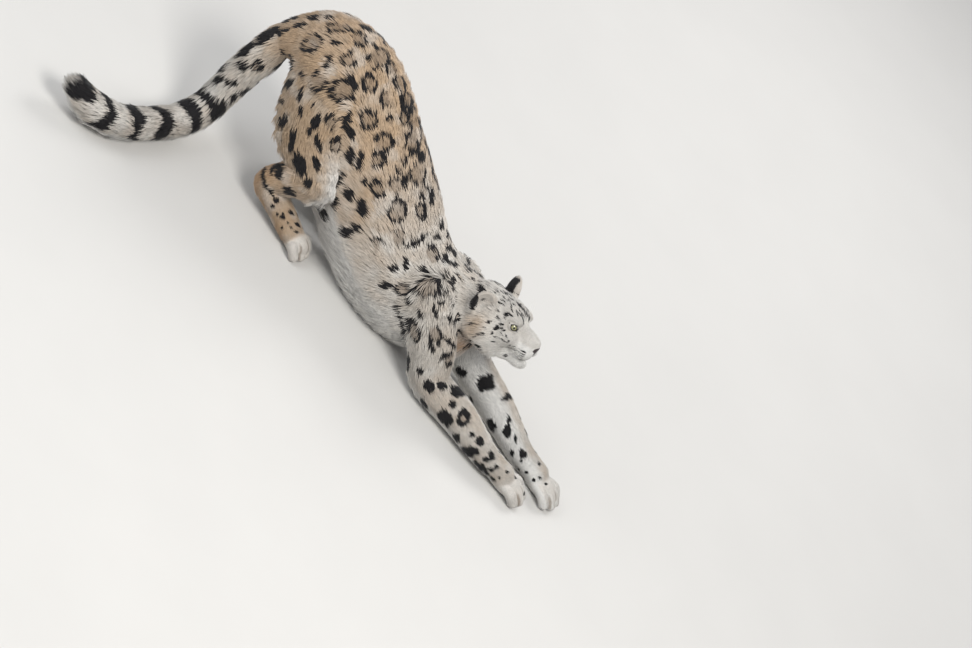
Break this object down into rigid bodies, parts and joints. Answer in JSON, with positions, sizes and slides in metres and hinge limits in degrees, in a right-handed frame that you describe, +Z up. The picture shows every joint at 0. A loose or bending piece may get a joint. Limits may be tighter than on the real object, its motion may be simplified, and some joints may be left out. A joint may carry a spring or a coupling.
{
  "type": "snow leopard",
  "caption": "Life-size still snow leopard in a low stretch: rump high, chest on the floor, both forelegs reaching forward, head raised, thick tail laid out behind with its tip lifted.",
  "frame": {"origin": "middle of the bounding box seen from above, at the floor under the feet", "axes": "+X the way the animal faces, from tail to forepaws; +Y its left; +Z up"},
  "size_m": [1.664, 0.7183, 0.5526],
  "materials": {
    "coat": "matte fur",
    "eye": "gloss",
    "nose_leather": "satin"
  },
  "bodies": {
    "root": {"head": "coat", "lower_jaw": "coat", "ear_left": "coat", "ear_right": "coat", "neck": "coat", "chest": "coat", "abdomen": "coat", "rump": "coat", "upper_arm_left": "coat", "forearm_left": "coat", "forepaw_left": "coat", "thigh_left": "coat", "shank_left": "coat", "hind_foot_left": "coat", "upper_arm_right": "coat", "forearm_right": "coat", "forepaw_right": "coat", "thigh_right": "coat", "shank_right": "coat", "hind_foot_right": "coat", "tail_1": "coat", "tail_2": "coat", "tail_3": "coat", "tail_4": "coat", "eye_left": "eye", "eye_right": "eye", "nose": "nose_leather"}
  },
  "joints": []
}
